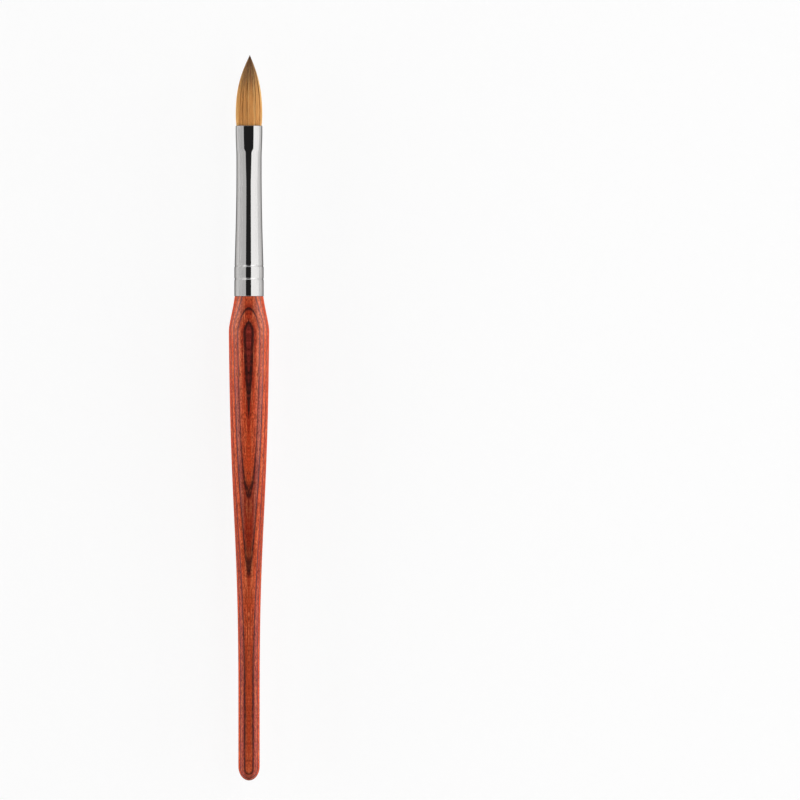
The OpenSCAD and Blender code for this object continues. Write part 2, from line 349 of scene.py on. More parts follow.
metal = newMaterial("polishedNickel", metalPaint, **{
    "Base Color": ferrule["colour"], "Metallic": 1.0, "Specular Tint": ferrule["edgeTint"],
})
ferrulePiece = skinMesh("ferruleTube", ferruleSkin(), wrapRows=True)
ferrulePiece.data.materials.append(metal)
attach(ferrulePiece, "brush")
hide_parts("ferrule")
print("ferrule:", len(ferrulePiece.data.polygons), "faces")


# Handle of glued veneers
handle = {
    "bellyR": 5.02, "bellyReach": 8.9, "shoulderR": 3.6, "shoulderRound": 0.2,
    "tailR": 2.65, "tailLength": 16.8, "tailRound": 3.5, "tenon": 22.0, "glue": 0.2,
    "neckRise": 0.52, "neckLead": 0.46, "neckEase": 0.73, "taperDrop": 0.4, "taperMiddle": 55.7,
    "tenonSteps": 14, "shoulderSteps": 7, "neckSteps": 32, "taperSteps": 84, "tailSteps": 25,
    "plyT": 0.8, "halfCount": 7, "arcSteps": 22, "flatSteps": 5,
}


def bezier(p, steps):  # cubic curve between its end points, without the first
    t = np.linspace(0, 1, steps + 1)[1:, None]
    p = np.array(p)
    return (1 - t) ** 3 * p[0] + 3 * (1 - t) ** 2 * t * p[1] + 3 * (1 - t) * t ** 2 * p[2] + t ** 3 * p[3]


def handleOutline():
    # radius and place along the axis, from the end of the tenon to the tail, measured from the shoulder
    h = handle
    tailEnd = tailY - jointY
    tailFrom = tailEnd + h["tailRound"] + h["tailLength"]
    tenonZ = np.linspace(h["tenon"], ferrule["taperFrom"], h["tenonSteps"])
    tenonR = tubeRadius(tenonZ) - ferrule["wall"] - h["glue"]
    turn = np.linspace(quarterTurn, 0, h["shoulderSteps"])
    shoulderTip = h["shoulderRound"] * np.stack([np.cos(turn) - 1, np.sin(turn) - 1], -1)
    belly = (h["bellyR"], -h["bellyReach"])
    neck = bezier([
        (h["shoulderR"], -h["shoulderRound"]),
        (h["shoulderR"] + h["neckRise"], -h["neckLead"] * h["bellyReach"]),
        (h["bellyR"], -h["neckEase"] * h["bellyReach"]), belly,
    ], h["neckSteps"])
    taper = bezier([
        belly, (h["bellyR"] - h["taperDrop"], -h["taperMiddle"]),
        (h["tailR"], -h["taperMiddle"]), (h["tailR"], tailFrom),
    ], h["taperSteps"])
    bow = np.linspace(0, quarterTurn, h["tailSteps"])
    tail = np.stack([h["tailR"] * np.cos(bow), tailEnd + h["tailRound"] * (1 - np.sin(bow))], -1)
    tail[-1, 0] = 0
    return np.concatenate([
        [(0, h["tenon"])], np.stack([tenonR, tenonZ], -1), [(tenonR[-1], 0)],
        (h["shoulderR"], 0) + shoulderTip, neck, taper, tail,
    ]).T


def plyGrid(radius, along, low, high, side):
    # the slice of the turned handle from depth low to depth high
    # each ring is an arc, a flat, the other arc and the other flat
    inside = np.flatnonzero(radius > low)
    first, last = inside[0], inside[-1]

    def crossing(out, within):  # where the outline comes up through the lower glue line
        share = (low - radius[out]) / (radius[within] - radius[out])
        return along[out] + share * (along[within] - along[out])

    y = np.concatenate([[crossing(first - 1, first)], along[first:last + 1], [crossing(last + 1, last)]])
    r = np.concatenate([[low], radius[first:last + 1], [low]])[:, None]
    safe = np.maximum(r, meshing["tiny"])
    lowTurn, highTurn = np.arcsin(low / np.maximum(safe, low)), np.arcsin(np.minimum(high / safe, 1))
    turn = lowTurn + (highTurn - lowTurn) * np.linspace(0, 1, handle["arcSteps"])
    arcX, arcZ = r * np.cos(turn), r * np.sin(turn)
    arcX[np.abs(arcX) < meshing["tiny"]] = 0
    across = np.linspace(1, -1, handle["flatSteps"] + 2)[1:-1]
    topX, lowX = arcX[:, -1:] * across, -arcX[:, :1] * across
    flatZ = np.ones_like(topX)
    x = np.concatenate([arcX, topX, -arcX[:, ::-1], lowX], 1)
    z = np.concatenate([arcZ, flatZ * arcZ[:, -1:], arcZ[:, ::-1], flatZ * low], 1)
    return np.stack([x, np.broadcast_to((jointY + y)[:, None], x.shape), axisZ + side * z], -1)


# Dyed wood: places along the brush are its Y, and depths are from the middle plane, all in millimetres
wood = {
    # veneers from the middle one out to the skin, as they show cut on edge and cut flat; the lighter colours
    # cut on edge are partly the cut and partly painted light on the sideways flanks
    "edge": [
        (226, 92, 50), (214, 79, 42), (190, 70, 44), (212, 89, 58),
        (197, 97, 80), (226, 120, 98), (116, 39, 31),
    ],
    "flat": [
        (222, 92, 54), (208, 84, 48), (172, 64, 38), (170, 64, 34),
        (138, 42, 22), (182, 64, 32), (116, 39, 31),
    ],
    "edgeSlope": (0.15, 0.9), "leastDepth": 0.05,  # across over depth, where flat turns into edge
    "skinFrom": (5.95, 6.05),  # counted in veneers
    # the skin's glue line cups up beside the middle and runs out to points
    "skinDepth": (4.4, 4.7), "cup": 0.06, "cupAcross": (0.3, 1.1), "point": 0.09, "pointReach": 0.7,
    # the glue lines below it leave their planes a little too
    "third": 0.19, "thirdAcross": (0, 3.2), "thirdDepth": ((2.5, 3.1), (3.5, 3.8)), "neckFrom": (20, 25),
    "fourth": 0.16, "fourthAcross": (1.4, 2.6), "fourthNeck": 0.4, "fourthDepth": ((3.5, 3.8), (4.3, 4.6)),
    "end": 0.17, "endFrom": (-88.4, -86.4), "second": 0.04, "secondDepth": 3.2, "secondNear": (0.1, 0.4),
    "lower": 0.015, "sway": 0.1, "ragged": 0.1, "raggedFlat": 0.4,
    # dye gathers at the outer glue line of a veneer, most of all under the skin, and browns at the inner one
    "rim": (122, 30, 21), "rimFrom": (0.7, 1.0), "rimShare": 0.65, "rimOnEdge": 0.4,
    "underSkin": (5.7, 5.86), "underShare": 0.62, "underOnEdge": 0.3,
    "brown": (98, 48, 28), "brownTo": (0.1, 0.32), "brownShare": 0.45,
    # gold streaks on the flat cuts, and gold in the middle of each veneer on edge
    "gold": (236, 138, 92), "streakFrom": (-0.02, 0.2), "streakShare": 0.4,
    "goldAt": 0.48, "goldNear": (0.06, 0.24), "goldFrom": (-0.1, 0.16), "goldShare": 0.45,
    "dim": 0.12, "dimAlong": ((-44, -34), (-14, -4)),  # darker flanks below the belly
    "tailDark": (108, 68, 62), "tailDarkTo": (-90, -87.2), "tailDarkShare": 0.6,  # the round end is duller
    "fleck": (244, 134, 84), "fleckFrom": (0.08, 0.2), "fleckFlat": 0.12, "fleckOnEdge": 0.4,
    "pore": (92, 30, 23), "poreFrom": (0.08, 0.2), "poreShare": 0.65,
    # glue lines: how they fade above and below, and where they are wider, broken or faint
    "lineFlat": (50, 23, 21), "lineEdge": (88, 66, 72), "linePale": (134, 100, 102), "paleFrom": (0, 16),
    "lineAbove": (0.04, 0.15), "lineBelow": (0.02, 0.07), "lineMost": 0.92,
    "widerOnEdge": 0.05, "widerAtTail": 0.03, "tailTo": (-60, -40), "widerAtSkin": 0.05,
    "broken": 1.6, "brokenLeast": 0.85,
    "faint": 0.65, "faintTo": (2.6, 2.8), "faintFrom": (-30, -10),
    # how much each figure shades the colour
    "shades": {"fibre": 0.6, "thread": 0.55, "grain": 1.5, "drift": 0.4}, "rungOnSkin": 3,
    "roughness": 0.5, "fibreRough": 0.12, "lineRough": 0.1,
    "bump": 0.01, "fibreHigh": 0.6, "lineDeep": 0.3,
    # noise: cells a millimetre across, along and in depth, detail, and shift
    "figures": {
        "sway": ((0.5, 0.07, 0.5), 2), "ragged": ((3.5, 0.9, 3.5), 2), "broken": ((3, 0.9, 3), 2),
        "drift": ((0.8, 0.14, 0.8), 2, (0, 0, 5)), "streak": ((3.2, 0.1, 0.6), 2, (7, 0, 0)),
        "gold": ((2.2, 0.2, 2.2), 2, (0, 0, 3)), "fibre": ((7, 0.35, 7), 3), "thread": ((2.8, 0.28, 2.8), 2),
        "grain": ((3.8, 1.9, 3.8), 1, (0, 0, 8)), "rung": ((0.9, 1.2, 0.9), 2),
        "fleck": ((3.4, 0.8, 3.4), 1), "pore": ((3.8, 0.7, 3.8), 1, (40, 0, 0)),
    },
    # washes of colour: the cut they show on, and where they come in and go out
    "washes": [
        {  # painted sheen: pale pink on the neck's flanks for the lamps' haze on the lacquer
            "colour": (232, 152, 128), "share": 0.45, "cut": "edge",
            "along": ((17, 27), None), "depth": ((1.8, 2.8), (4.0, 4.4)),
        },
        {  # warmer at the shoulder
            "colour": (206, 88, 52), "share": 0.6, "cut": "flat", "along": ((26.8, 29.8), None),
        },
        {  # dark arch over the skin
            "colour": (122, 30, 21), "share": 0.5, "cut": "bare",
            "along": ((21, 25.5), None), "depth": ((3.9, 4.1), None),
        },
        {  # greyer flanks on the tail
            "colour": (146, 92, 92), "share": 0.45, "cut": "edge",
            "along": (None, (-52, -24)), "veneer": ((1.8, 2.2), (2.9, 3.0)),
        },
        {  # and below the belly
            "colour": (146, 92, 92), "share": 0.55, "cut": "edge",
            "along": (None, (2, 10)), "veneer": ((3.98, 4.02), (4.9, 5.0)),
        },
        {  # golden veneer round the skin
            "colour": (236, 138, 92), "share": 0.2, "cut": "any",
            "along": ((2, 9), (21, 25)), "depth": ((4.1, 4.25), (4.5, 4.64)),
        },
    ],
}


def lineLift(x, y, depth):
    # how far the glue lines stand out from their planes: most bend up from the middle to the flanks
    w = wood
    atNeck = y.ease(*w["neckFrom"])
    point = (x.ease(-w["pointReach"], w["pointReach"]) - 1) * 2 * w["point"]
    skin = (x.ease(*w["cupAcross"]) * w["cup"] + point + w["lower"]) * depth.ease(*w["skinDepth"])
    third = x.ease(*w["thirdAcross"]) * depth.band(*w["thirdDepth"]) * (1 - atNeck) * w["third"]
    fourth = x.ease(*w["fourthAcross"]) + atNeck * w["fourthNeck"]
    fourth = fourth * depth.band(*w["fourthDepth"]) * w["fourth"]
    second = (1 - abs(depth - w["secondDepth"]).ease(*w["secondNear"])) * w["second"]
    end = (1 - y.ease(*w["endFrom"])) * w["end"]
    return skin + third + fourth - second - end - w["lower"]


def glueLines(y, veneer, onEdge, skin, broken):
    # 1 on a line and 0 away from it, sharper on its inner side
    w = wood
    part = veneer - veneer.whole()
    wider = onEdge * w["widerOnEdge"] + skin * w["widerAtSkin"]
    wider = wider + (1 - y.ease(*w["tailTo"])) * w["widerAtTail"]
    above = 1 - (part * handle["plyT"] - wider).ease(*w["lineAbove"])
    below = 1 - ((1 - part) * handle["plyT"]).ease(*w["lineBelow"])
    innerLines = 1 - veneer.ease(*w["faintTo"])  # these hardly show on the belly
    faint = 1 - innerLines * y.ease(*w["faintFrom"]) * w["faint"]
    line = above.larger(below) * (broken * w["broken"] + w["brokenLeast"]) * faint
    return line.smaller(w["lineMost"])


def woodPaint(start, spot):
    w = wood
    x, y, z = spot.split()
    x = abs(x)  # the two halves are book matched
    depth = abs(z - axisZ)
    bookSpot = start.joined(x, y, depth)
    figures = {name: bookSpot.noise(*facts) for name, facts in w["figures"].items()}
    onEdge = (x / (depth + w["leastDepth"])).ease(*w["edgeSlope"])
    ragged = figures["ragged"] * w["ragged"] * (onEdge * (1 - w["raggedFlat"]) + w["raggedFlat"])
    shifted = depth - lineLift(x, y, depth) + figures["sway"] * w["sway"] + ragged
    veneer = shifted / handle["plyT"]  # counted from the middle
    part = veneer - veneer.whole()
    skin = veneer.ease(*w["skinFrom"])
    cuts = {"edge": onEdge, "flat": 1 - onEdge, "bare": (1 - onEdge) * (1 - skin), "any": 1}

    def veneers(colours):
        stops = [(i / handle["halfCount"], colour) for i, colour in enumerate(colours)]
        return (veneer / handle["halfCount"]).ramp(stops, "CONSTANT")

    # cut on edge shows on the flanks, painted lighter partly for the cut and partly as painted light
    colour = onEdge.blendColour(veneers(w["flat"]), veneers(w["edge"]))
    rim = part.ease(*w["rimFrom"]) * (figures["drift"] + w["rimShare"] - onEdge * w["rimOnEdge"])
    under = veneer.ease(*w["underSkin"]) * (w["underShare"] - onEdge * w["underOnEdge"])
    colour = (rim.larger(under) * (1 - skin)).blendColour(colour, tone(*w["rim"]))
    brown = (1 - part.ease(*w["brownTo"])) * cuts["bare"] * w["brownShare"]
    colour = brown.blendColour(colour, tone(*w["brown"]))
    for wash in w["washes"]:
        mask = cuts[wash["cut"]] * wash["share"]
        for way, wire in (("along", y), ("depth", depth), ("veneer", veneer)):
            if way in wash:
                mask = mask * wire.band(*wash[way])
        colour = mask.blendColour(colour, tone(*wash["colour"]))
    streak = figures["streak"].ease(*w["streakFrom"]) * cuts["bare"] * w["streakShare"]
    colour = streak.blendColour(colour, tone(*w["gold"]))
    gold = (1 - abs(part - w["goldAt"]).ease(*w["goldNear"])) * figures["gold"].ease(*w["goldFrom"])
    colour = (gold * onEdge * (1 - skin) * w["goldShare"]).blendColour(colour, tone(*w["gold"]))
    colour = colour.tinted(1 - y.band(*w["dimAlong"]) * onEdge * w["dim"])
    # darker and greyer towards the round end of the tail
    tailDark = (1 - y.ease(*w["tailDarkTo"])) * w["tailDarkShare"]
    colour = tailDark.blendColour(colour, tone(*w["tailDark"]))
    shade = sum((figures[name] * share for name, share in w["shades"].items()), 1.0)
    colour = colour.tinted(shade + figures["rung"] * skin * w["rungOnSkin"])
    fleck = figures["fleck"].ease(*w["fleckFrom"]) * (1 - skin) * (onEdge * w["fleckOnEdge"] + w["fleckFlat"])
    colour = fleck.blendColour(colour, tone(*w["fleck"]))
    pore = figures["pore"].ease(*w["poreFrom"]) * w["poreShare"]
    colour = pore.blendColour(colour, tone(*w["pore"]))
    line = glueLines(y, veneer, onEdge, skin, figures["broken"])
    slate = y.ease(*w["paleFrom"]).blendColour(tone(*w["lineEdge"]), tone(*w["linePale"]))
    colour = line.blendColour(colour, onEdge.blendColour(tone(*w["lineFlat"]), slate))
    height = figures["fibre"] * w["fibreHigh"] - pore - line * w["lineDeep"]
    return {
        "Base Color": colour,
        "Roughness": figures["fibre"] * w["fibreRough"] + line * w["lineRough"] + w["roughness"],
        "Normal": start.bump(height, w["bump"]),
    }


lacqueredWood = newMaterial("lacqueredVeneer", woodPaint, **{"Specular IOR Level": 0.03})
outline = handleOutline()
plyCount = 2 * handle["halfCount"]
arc, flat = handle["arcSteps"], handle["flatSteps"]
plyCorners = (0, arc - 1, arc + flat, 2 * arc + flat - 1)
for number in range(1, plyCount + 1):
    upper = number > handle["halfCount"]
    step = number - handle["halfCount"] - 1 if upper else handle["halfCount"] - number
    low, high = step * handle["plyT"], (step + 1) * handle["plyT"]
    corners = plyCorners if high < handle["bellyR"] else (plyCorners[0], plyCorners[3])
    node = f"handle_ply_{number:02d}"
    plySkin = plyGrid(*outline, low, high, 1 if upper else -1)
    ply = skinMesh(f"veneer{number:02d}", plySkin, creaseCols=corners)
    ply.data.materials.append(lacqueredWood)
    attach(ply, "brush")
    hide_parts(node)
print("handle:", plyCount, "veneers")


# Hair
hair = {
    "halfW": 3.28, "halfT": 2.69, "footW": 2.97, "footT": 2.45, "fullAt": 2.8, "swellPower": 4,
    "drawPower": 2.3, "tipDraw": 0.15, "tipPower": 6, "lean": 0.2, "leanPower": 3, "rootIn": 0.9,
    "sides": 3, "stations": 11, "slimmest": 0.3, "pointLength": 0.14, "pointPower": 0.7,
    # neighbours gather into clumps towards the tip
    "clumps": 74, "pull": 0.45, "pullBy": 0.8, "swayFrom": 0.3,
    "bulge": 0.035, "bulgeReach": 6, "bulgeBy": 0.3,
    # strands of one shade share a column of the UV map, which runs up from the foot to the tip
    "bins": 64, "uvFoot": 0.05, "uvSpan": 0.93, "uvEdge": 0.005,
    # streaks of tone round the tuft: how many, where they start and how strong they are
    "waves": ((17, 1.3, 1), (29, 0.4, 1), (47, 2.2, 0.8)), "waveShare": 0.1, "shade": 0.52,
    # painted light: strands on the narrow sides of the tuft are painted paler, for light shining through the
    # hairs at its outline
    "paintedRimLight": 0.2, "rimLightFrom": 0.84, "rimLightSpan": 0.12,
    "bendReach": 1.25,  # share of the hair's length meant to take up the turn of the tuft; nothing in this script reads it
}
hairTone = {
    "body": [
        (0.0, (156, 100, 52)), (0.35, (212, 148, 83)), (0.65, (238, 171, 98)), (1.0, (255, 214, 142))],
    "smoke": [(0.0, (78, 52, 37)), (0.5, (136, 94, 64)), (1.0, (226, 174, 116))],
    "darkFrom": (0.38, 0.8), "darkLuck": 0.26, "darkLight": 0.36,  # pale strands turn smoky higher up
    "streak": ((3.7, 9, 1), 2), "streakShare": 0.3,
    # the hair is painted darker just above the mouth, as painted shadow
    "mouthShadowTo": (-0.02, 0.05), "paintedMouthShadow": 0.25, "tipFrom": (0.6, 1.0), "tipShade": 0.18,
    "roughness": 0.42, "luckRough": 0.1,
}
hairLength = tipY - mouthY


def tuftHalf(full, foot, h):
    # swells from the mouth to its fullest, then draws in to the point by a power of the height
    swell = full - (full - foot) * (1 - np.clip(h, 0, hair["fullAt"]) / hair["fullAt"]) ** hair["swellPower"]
    u = np.clip((h - hair["fullAt"]) / (hairLength - hair["fullAt"]), 0, 1)
    return swell * (1 - u ** hair["drawPower"]) * (1 - hair["tipDraw"] * u ** hair["tipPower"])


def tuftPoint(h, reach, turn):  # a point inside the tuft: height, share of the way out, angle
    x = tuftHalf(hair["halfW"], hair["footW"], h) * reach * np.cos(turn)
    x = x + hair["lean"] * (np.clip(h, 0, None) / hairLength) ** hair["leanPower"]
    z = tuftHalf(hair["halfT"], hair["footT"], h) * reach * np.sin(turn)
    return np.stack([x, mouthY + h, axisZ + z], -1)


def strandPoints(turn, reach, end, thick, sway):
    # three sided tubes: each strand is a line of stations from the root to its end, closing to a point
    count, sides = len(turn), hair["sides"]
    s = np.linspace(0, 1, hair["stations"])[None]
    h = -hair["rootIn"] + (end[:, None] + hair["rootIn"]) * s
    centres = np.sort(rng.uniform(0, fullTurn, hair["clumps"]))
    gap = (turn[:, None] - centres[None] + math.pi) % fullTurn - math.pi
    near = np.abs(gap).argmin(1)
    gap = gap[np.arange(count), near]
    pull = hair["pull"] * ease(s / hair["pullBy"])
    line = turn[:, None] - gap[:, None] * pull + sway[:, None] * (s - hair["swayFrom"])
    outer = ease(np.abs(gap) * hair["clumps"] / hair["bulgeReach"])[:, None]
    bulge = 1 - hair["bulge"] * outer * ease(s / hair["bulgeBy"])
    middle = tuftPoint(h, reach[:, None] * bulge, line)
    slim = hair["slimmest"] + (1 - hair["slimmest"]) * tuftHalf(1, hair["footW"] / hair["halfW"], h)
    point = np.minimum(1, (1 - s) / hair["pointLength"]) ** hair["pointPower"]
    radius = thick[:, None] * slim * point
    spin = rng.uniform(0, fullTurn, count)[:, None, None] + np.arange(sides) * fullTurn / sides
    ring = np.stack([np.cos(spin), np.zeros_like(spin), np.sin(spin)], -1)
    points = middle[:, :, None] + radius[:, :, None, None] * ring
    return np.concatenate([points[:, :-1].reshape(count, -1, 3), middle[:, -1:]], 1)


def strandMesh(name, turn, reach, end, thick, shadeBin, sway):
    # every strand has the same faces: quads round each stretch, a fan at the tip and a cap at the root
    points = strandPoints(turn, reach, end, thick, sway)
    count, perStrand = points.shape[:2]
    sides = hair["sides"]
    k, side = np.meshgrid(np.arange(hair["stations"] - 2) * sides, np.arange(sides), indexing="ij")
    after = (side + 1) % sides
    quads = np.stack([k + side, k + after, k + sides + after, k + sides + side], -1).reshape(-1, 4)
    last, tip = perStrand - 1 - sides, perStrand - 1
    fan = np.stack([last + side[0], last + after[0], np.full(sides, tip)], -1)
    cap = np.arange(sides)[None, ::-1]
    base = (np.arange(count) * perStrand)[:, None, None]
    quads = (quads[None] + base).reshape(-1, 4)[:, ::-1]
    threes = (np.concatenate([fan, cap])[None] + base).reshape(-1, 3)[:, ::-1]
    mesh = bpy.data.meshes.new(name)
    mesh.from_pydata((points.reshape(-1, 3) * mm).tolist(), [], quads.tolist() + threes.tolist())
    mesh.shade_smooth()
    corner = np.empty(len(mesh.loops), np.int32)
    mesh.loops.foreach_get("vertex_index", corner)
    strand, within = corner // perStrand, corner % perStrand
    share = (within % sides + 0.5) / (sides + 0.5)
    height = (points[:, :, 1] - mouthY).reshape(-1)[corner] / hairLength
    u = (shadeBin[strand] + share) / hair["bins"]
    v = np.clip(hair["uvFoot"] + hair["uvSpan"] * height, hair["uvEdge"], 1 - hair["uvEdge"])
    uv = np.stack([u, v], -1).astype(np.float32)
    mesh.uv_layers.new(name="OFBake").data.foreach_set("uv", uv.reshape(-1))
    return addPiece(name, mesh)


def hairPaint(start, spot):
    t = hairTone
    u, v, _ = start.node("UVMap", {"uv_map": "OFBake"}).split()
    shade = (u * hair["bins"]).whole()
    height = (v - hair["uvFoot"]) / hair["uvSpan"]
    luck = start.node("TexWhiteNoise", {"noise_dimensions": "1D"}, {"W": shade})
    light = shade / hair["bins"]
    dark = (height - (luck - 0.5) * t["darkLuck"] - (light - 0.5) * t["darkLight"]).ease(*t["darkFrom"])
    colour = dark.blendColour(light.ramp(t["body"]), light.ramp(t["smoke"]))
    streak = start.joined(shade, height, 0.0).noise(*t["streak"]) * t["streakShare"] + 1.0
    # painted shadow at the mouth: the roots are darkened
    root = height.ease(*t["mouthShadowTo"]) * t["paintedMouthShadow"] + (1 - t["paintedMouthShadow"])
    tip = 1 - height.ease(*t["tipFrom"]) * t["tipShade"]
    return {
        "Base Color": colour.tinted(streak * root * tip),
        "Roughness": luck * t["luckRough"] + t["roughness"],
    }


hairMaterial = newMaterial("goldenHair", hairPaint, **{"Specular IOR Level": 0.2})


def shadeBins(turn, spread, lift):
    # streaks of tone that run round the tuft, with some scatter from hair to hair
    wave = sum(np.sin(turn * count + phase) * share for count, phase, share in hair["waves"])
    # painted rim light: paler strands on the narrow sides
    side = ease((np.abs(np.cos(turn)) - hair["rimLightFrom"]) / hair["rimLightSpan"])  # palest on the narrow sides
    shade = hair["shade"] + lift + hair["paintedRimLight"] * side + hair["waveShare"] * wave
    shade = shade + rng.normal(0, spread, len(turn))
    return np.clip((shade * hair["bins"]).astype(int), 1, hair["bins"] - 2)


# the body of the tuft, strands side by side all round
body = {
    "count": 2600, "jitter": 0.5, "reach": 0.985, "sink": 0.2, "sinkPower": 1.4, "paintedDepthShade": 0.9,
    "shortLeast": 0.002, "short": 0.3, "shortPower": 3, "thick": (0.05, 0.075), "spread": 0.1, "sway": 0.04,
}
strands = body["count"]
bodyTurn = np.arange(strands) + rng.uniform(-body["jitter"], body["jitter"], strands)
bodyTurn = fullTurn * bodyTurn / strands
bodyReach = body["reach"] - body["sink"] * rng.uniform(0, 1, strands) ** body["sinkPower"]
bodyShort = body["shortLeast"] + body["short"] * rng.uniform(0, 1, strands) ** body["shortPower"]
bodyThick = rng.uniform(*body["thick"], strands)
# strands set deeper in the tuft are painted darker: painted shade
bodyShade = shadeBins(bodyTurn, body["spread"], -body["paintedDepthShade"] * (body["reach"] - bodyReach))
bodySway = rng.normal(0, body["sway"], strands)
bodyEnd = hairLength * (1 - bodyShort)
bodyHair = strandMesh("hairBody", bodyTurn, bodyReach, bodyEnd, bodyThick, bodyShade, bodySway)
print("hair body:", len(bodyHair.data.polygons), "faces")

# finer strands that lie loose over it
over = {
    "count": 340, "reach": (0.98, 1.0), "short": 0.45, "shortPower": 2, "thick": (0.035, 0.05),
    "spread": 0.22, "lift": 0.1, "sway": 0.12,
}
strands = over["count"]
overTurn = rng.uniform(0, fullTurn, strands)
overReach = rng.uniform(*over["reach"], strands)
overEnd = hairLength * (1 - over["short"] * rng.uniform(0, 1, strands) ** over["shortPower"])
overThick = rng.uniform(*over["thick"], strands)
overShade = shadeBins(overTurn, over["spread"], over["lift"])
overSway = rng.normal(0, over["sway"], strands)
overHair = strandMesh("hairOver", overTurn, overReach, overEnd, overThick, overShade, overSway)

# a closed core inside, so that no light comes through, painted darker than the strands as painted shade deep
# in the tuft
core = {
    "sides": 64, "rings": 48, "top": 0.97, "reach": 0.86, "grain": ((8, 0.25, 8), 2), "grainShade": 0.8,
    "body": (150, 100, 58), "smoke": (104, 78, 58), "darkFrom": (0.5, 0.75), "darkGrain": 0.1,
    "roughness": 0.55, "grainRough": 0.1,
}


def coreSkin():
    # the tuft's own oval rings, drawn in by a share and closed at both ends
    foot, top = -hair["rootIn"], hairLength * core["top"]
    turn = np.linspace(0, fullTurn, core["sides"], endpoint=False)[None]
    height = np.concatenate([[foot], np.linspace(foot, top, core["rings"]), [top]])[:, None]
    reach = np.concatenate([[0], np.full(core["rings"], core["reach"]), [0]])[:, None]
    return tuftPoint(np.broadcast_to(height, (len(height), core["sides"])), reach, turn)


def corePaint(start, spot):
    _, y, _ = spot.split()
    grain = spot.noise(*core["grain"])
    dark = ((y - mouthY) / hairLength + grain * core["darkGrain"]).ease(*core["darkFrom"])
    colour = dark.blendColour(tone(*core["body"]), tone(*core["smoke"]))
    return {
        "Base Color": colour.tinted(grain * core["grainShade"] + 1.0),
        "Roughness": grain * core["grainRough"] + core["roughness"],
    }


coreHair = skinMesh("hairCore", coreSkin())
coreHair.data.materials.append(newMaterial("innerHairInPaintedShade", corePaint, **{"Specular IOR Level": 0.3}))
for piece in (bodyHair, overHair):
    piece.data.materials.append(hairMaterial)
for piece in (bodyHair, overHair, coreHair):
    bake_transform(piece)
    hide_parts("hair_tuft")
print("hair:", body["count"] + over["count"], "strands round a core")


# Inner pieces, which keep their solids; each noise has its cells a millimetre and its detail
inner = {
    "glue": (232, 206, 150), "glueClear": (206, 168, 104), "smear": ((0.9, 0.4, 0.9), 3),
    "glueRough": (0.35, 0.2), "resin": (204, 156, 62), "resinDeep": (150, 98, 30),
    "cloud": ((0.6, 0.6, 0.6), 3), "bubble": ((4, 4, 4), 1), "bubbleFrom": (0.16, 0.24), "bubbleShare": 0.5,
    "resinRough": (0.18, 0.2), "setDepth": 0.02, "blend": (-0.2, 0.2),
    "thread": (236, 230, 216), "paintedGrooveShade": (176, 164, 144), "threadPitch": 0.35, "threadDepth": 0.05,
    "grooveFrom": (0.5, 1.0), "plyLean": 1.6, "ply": ((5, 3, 5), 2), "plyShade": 0.5,
    "threadRough": (0.7, 0.1),
    "root": (132, 86, 48), "rootPale": (186, 134, 82), "lock": ((2, 0.1, 2), 2), "fibre": ((9, 0.2, 9), 2),
    "rootRough": (0.55, 0.1),
}


def gluePaint(start, spot):
    smear = spot.noise(*inner["smear"])
    colour = smear.ease(*inner["blend"]).blendColour(tone(*inner["glue"]), tone(*inner["glueClear"]))
    plain, varied = inner["glueRough"]
    return {
        "Base Color": colour, "Roughness": smear * varied + plain,
        "Normal": start.bump(smear, inner["setDepth"]),
    }


def resinPaint(start, spot):
    cloud = spot.noise(*inner["cloud"])
    bubble = spot.noise(*inner["bubble"]).ease(*inner["bubbleFrom"])
    colour = cloud.ease(*inner["blend"]).blendColour(tone(*inner["resinDeep"]), tone(*inner["resin"]))
    colour = (bubble * inner["bubbleShare"]).blendColour(colour, tone(*inner["glue"]))
    plain, varied = inner["resinRough"]
    return {
        "Base Color": colour, "Roughness": bubble * varied + plain,
        "Normal": start.bump(cloud - bubble, inner["setDepth"]),
    }


def threadPaint(start, spot):
    x, y, z = spot.split()
    turns = y / inner["threadPitch"]
    groove = abs(turns - turns.whole() - 0.5) * 2  # 0 on the crown of a turn, 1 between turns
    ply = start.joined(x + y * inner["plyLean"], y, z).noise(*inner["ply"])
    # the hollows between turns are painted darker: painted shade
    between = groove.ease(*inner["grooveFrom"])
    colour = between.blendColour(tone(*inner["thread"]), tone(*inner["paintedGrooveShade"]))
    plain, varied = inner["threadRough"]
    return {
        "Base Color": colour.tinted(ply * inner["plyShade"] + 1.0), "Roughness": ply * varied + plain,
        "Normal": start.bump(1 - groove, inner["threadDepth"]),
    }


def rootPaint(start, spot):
    lock = spot.noise(*inner["lock"])
    fibre = spot.noise(*inner["fibre"])
    colour = lock.ease(*inner["blend"]).blendColour(tone(*inner["root"]), tone(*inner["rootPale"]))
    plain, varied = inner["rootRough"]
    return {"Base Color": colour.tinted(fibre + 1.0), "Roughness": fibre * varied + plain}


innerLooks = {
    "ferrule_glue": newMaterial("setGlue", gluePaint, **{"Specular IOR Level": 0.5}),
    "root_epoxy": newMaterial("setResin", resinPaint, **{"Specular IOR Level": 0.5}),
    "root_thread": newMaterial("woundThread", threadPaint, **{"Specular IOR Level": 0.2}),
    "hair_root": newMaterial("packedHair", rootPaint, **{"Specular IOR Level": 0.3}),
}
for node, look in innerLooks.items():
    for place in frame["nodes"][node].material_slots:
        place.material = look
    print("inner piece:", node, len(frame["nodes"][node].material_slots), "material")


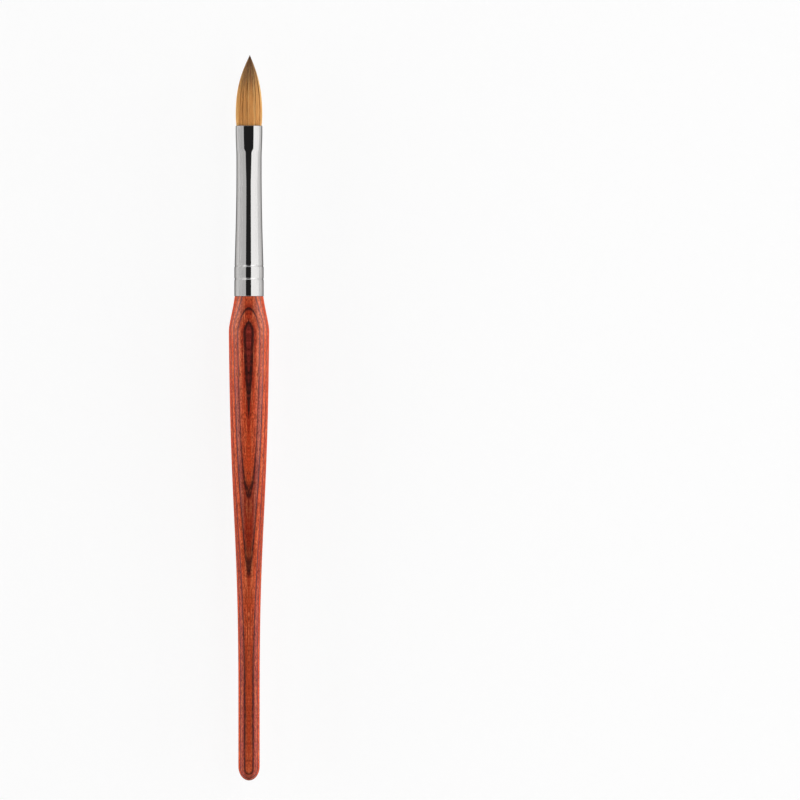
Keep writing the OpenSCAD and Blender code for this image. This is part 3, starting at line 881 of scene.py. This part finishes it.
# Floor and light in metres, and camera in millimetres
studio = {
    "floorZ": -0.0045,  # low enough for the bent hair
    "floorR": 1.7, "floorFrom": 0.1, "floorRings": 12, "floorSides": 96,
    "coveR": 0.6, "coveSteps": 16, "wall": 1.0,
    "floorTone": 0.95, "floorShine": 0.1, "floorVeil": (0.86, 0.5),  # veil seen straight and in a reflection
    "speck": ((0.8, 0.8, 0.8), 3), "floorRough": 0.8, "speckRough": 0.1, "dark": 0.02,
    # each lamp: side, edges of the panel (out from the brush, up), glow, and whether the metal shows it
    "lampLength": 2.0,
    "lamps": {
        "boxRight": (1, (0.19, 0.60), (0.62, 0.434), 1.26, True),
        "lowRight": (1, (0.62, 0.434), (0.90, 0.06), 0.52, True),
        "boxLeft": (-1, (0.265, 0.60), (0.62, 0.434), 0.64, True),
        "sideRight": (1, (1.90, 1.10), (1.90, 0.25), 2.9, False),
        "sideLeft": (-1, (1.90, 1.10), (1.90, 0.25), 4.2, False),
    },
}
photo = {"side": 198.48, "midX": 37.46, "midY": 4.4, "lens": 400.0, "film": 36.0}


def floorSkin():
    # a flat disc that sweeps up into a wall, turned about the vertical
    s = studio
    disc = np.concatenate([[0], np.linspace(s["floorFrom"], s["floorR"], s["floorRings"])])
    bow = np.linspace(0, quarterTurn, s["coveSteps"] + 1)[1:]
    r = np.concatenate([disc, s["floorR"] + s["coveR"] * np.sin(bow), [s["floorR"] + s["coveR"]]])
    z = np.concatenate([np.zeros(len(disc)), s["coveR"] * (1 - np.cos(bow)), [s["coveR"] + s["wall"]]])
    a = np.linspace(0, fullTurn, s["floorSides"], endpoint=False)[None]
    r, z = r[:, None], z[:, None] + s["floorZ"] + np.zeros_like(a)
    return np.stack([r * np.cos(a), r * np.sin(a), z], -1) / mm


def floorPaint(start, spot):
    return {"Roughness": spot.noise(*studio["speck"]) * studio["speckRough"] + studio["floorRough"]}


pale = studio["floorTone"]
floor = skinMesh("floor", floorSkin())
floor.data.materials.append(newMaterial("paleFloor", floorPaint, studio["floorVeil"], **{
    "Base Color": (pale, pale, pale, 1), "Specular IOR Level": studio["floorShine"]}))


def softbox(name, side, top, foot, glow, inMetal):
    # a long panel beside the brush, facing it
    top, foot = np.array(top), np.array(foot)
    width, length = float(np.linalg.norm(top - foot)), studio["lampLength"]
    light = bpy.data.lights.new(name, "AREA")
    light.shape = "RECTANGLE"
    light.size, light.size_y = width, length
    light.energy = glow * math.pi * width * length
    panel = bpy.data.objects.new(name, light)
    middle = (top + foot) / 2
    panel.location = (side * middle[0], 0, middle[1])
    lean = math.atan2(foot[0] - top[0], top[1] - foot[1])
    panel.rotation_euler = (0, side * (quarterTurn - lean), 0)
    panel.visible_camera = False
    panel.visible_glossy = inMetal
    bpy.context.scene.collection.objects.link(panel)


for lampName, lampFacts in studio["lamps"].items():
    softbox(lampName, *lampFacts)

world = bpy.data.worlds.new("studio")
world.use_nodes = True
world.node_tree.nodes["Background"].inputs["Color"].default_value = (*[studio["dark"]] * 3, 1)
bpy.context.scene.world = world

lens = bpy.data.cameras.new("camera")
lens.lens, lens.sensor_width = photo["lens"], photo["film"]
camera = bpy.data.objects.new("camera", lens)
away = photo["side"] * photo["lens"] / photo["film"]
camera.location = (photo["midX"] * mm, photo["midY"] * mm, (axisZ + away) * mm)
bpy.context.scene.collection.objects.link(camera)
bpy.context.scene.camera = camera
bpy.context.scene.view_settings.view_transform = "Standard"
print("studio ready")
